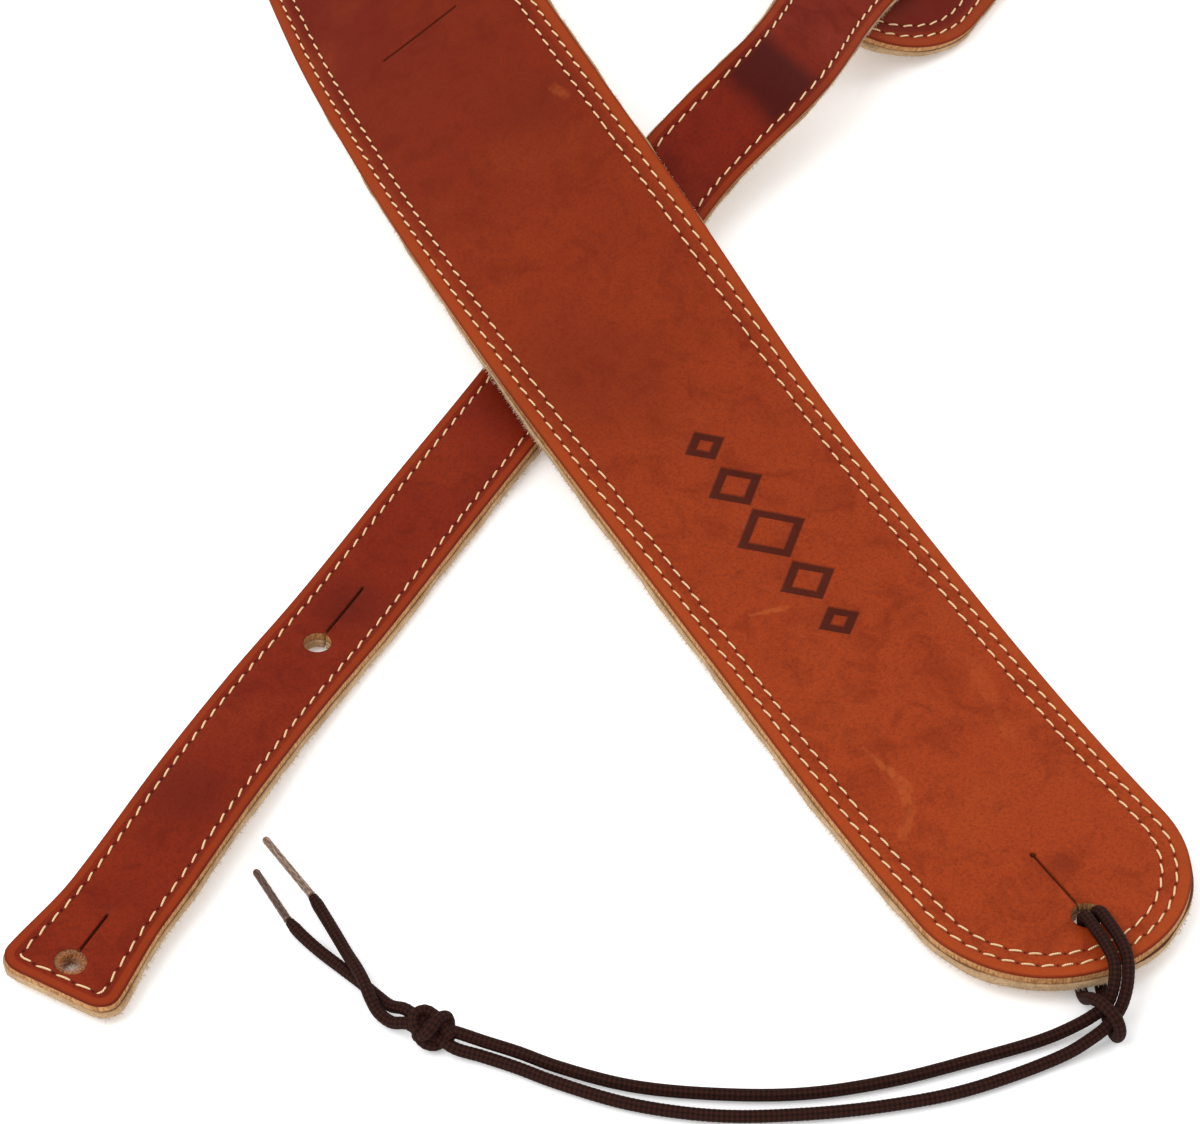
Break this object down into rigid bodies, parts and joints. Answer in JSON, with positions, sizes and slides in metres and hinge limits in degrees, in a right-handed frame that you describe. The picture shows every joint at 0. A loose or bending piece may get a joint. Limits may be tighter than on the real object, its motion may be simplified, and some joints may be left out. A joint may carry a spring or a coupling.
{
  "type": "guitar strap",
  "caption": "Leather guitar strap laid in an open loop: wide stitched shoulder pad, narrow adjuster tail under its slit bridge, and a braided lace hitched in the pad's button hole.",
  "frame": {"origin": "middle of the strap's footprint (pad and tail, without the lace), on the surface it lies on", "axes": "+Z up; +Y along the laid-out length, from the front tip towards the loop; +X to the right seen from above with +Y up"},
  "size_m": [0.2786, 0.5818, 0.0636],
  "materials": {
    "pad_grain": "oiled grain, semi-matt, dark red-brown to orange-brown",
    "tail_grain": "oiled grain, semi-matt, dark red-brown",
    "suede": "raw suede, fuzzy, matt",
    "thread": "waxed twisted thread, satin",
    "braid": "round braided cord, matt",
    "lace_tip": "clear shrunk film over the braid, glossy"
  },
  "bodies": {
    "pad": {"pad_grain_ply": "pad_grain", "pad_lining_ply": "suede", "pad_outer_needle_thread": "thread", "pad_outer_bobbin_thread": "thread", "pad_inner_needle_thread": "thread", "pad_inner_bobbin_thread": "thread", "lace_bight": "braid", "lace_strand_a_run": "braid", "lace_strand_b_run": "braid", "lace_knot": "braid", "lace_strand_a_end": "braid", "lace_strand_b_end": "braid", "lace_tip_a": "lace_tip", "lace_tip_b": "lace_tip"},
    "tail": {"tail_grain_ply": "tail_grain", "tail_lining_ply": "suede", "tail_needle_thread": "thread", "tail_bobbin_thread": "thread"}
  },
  "joints": [
    {"name": "tail_slide", "type": "slide", "parent": "pad", "child": "tail", "axis": [-0.5, -0.866, 0], "range_m": [0, 0.02]}
  ]
}
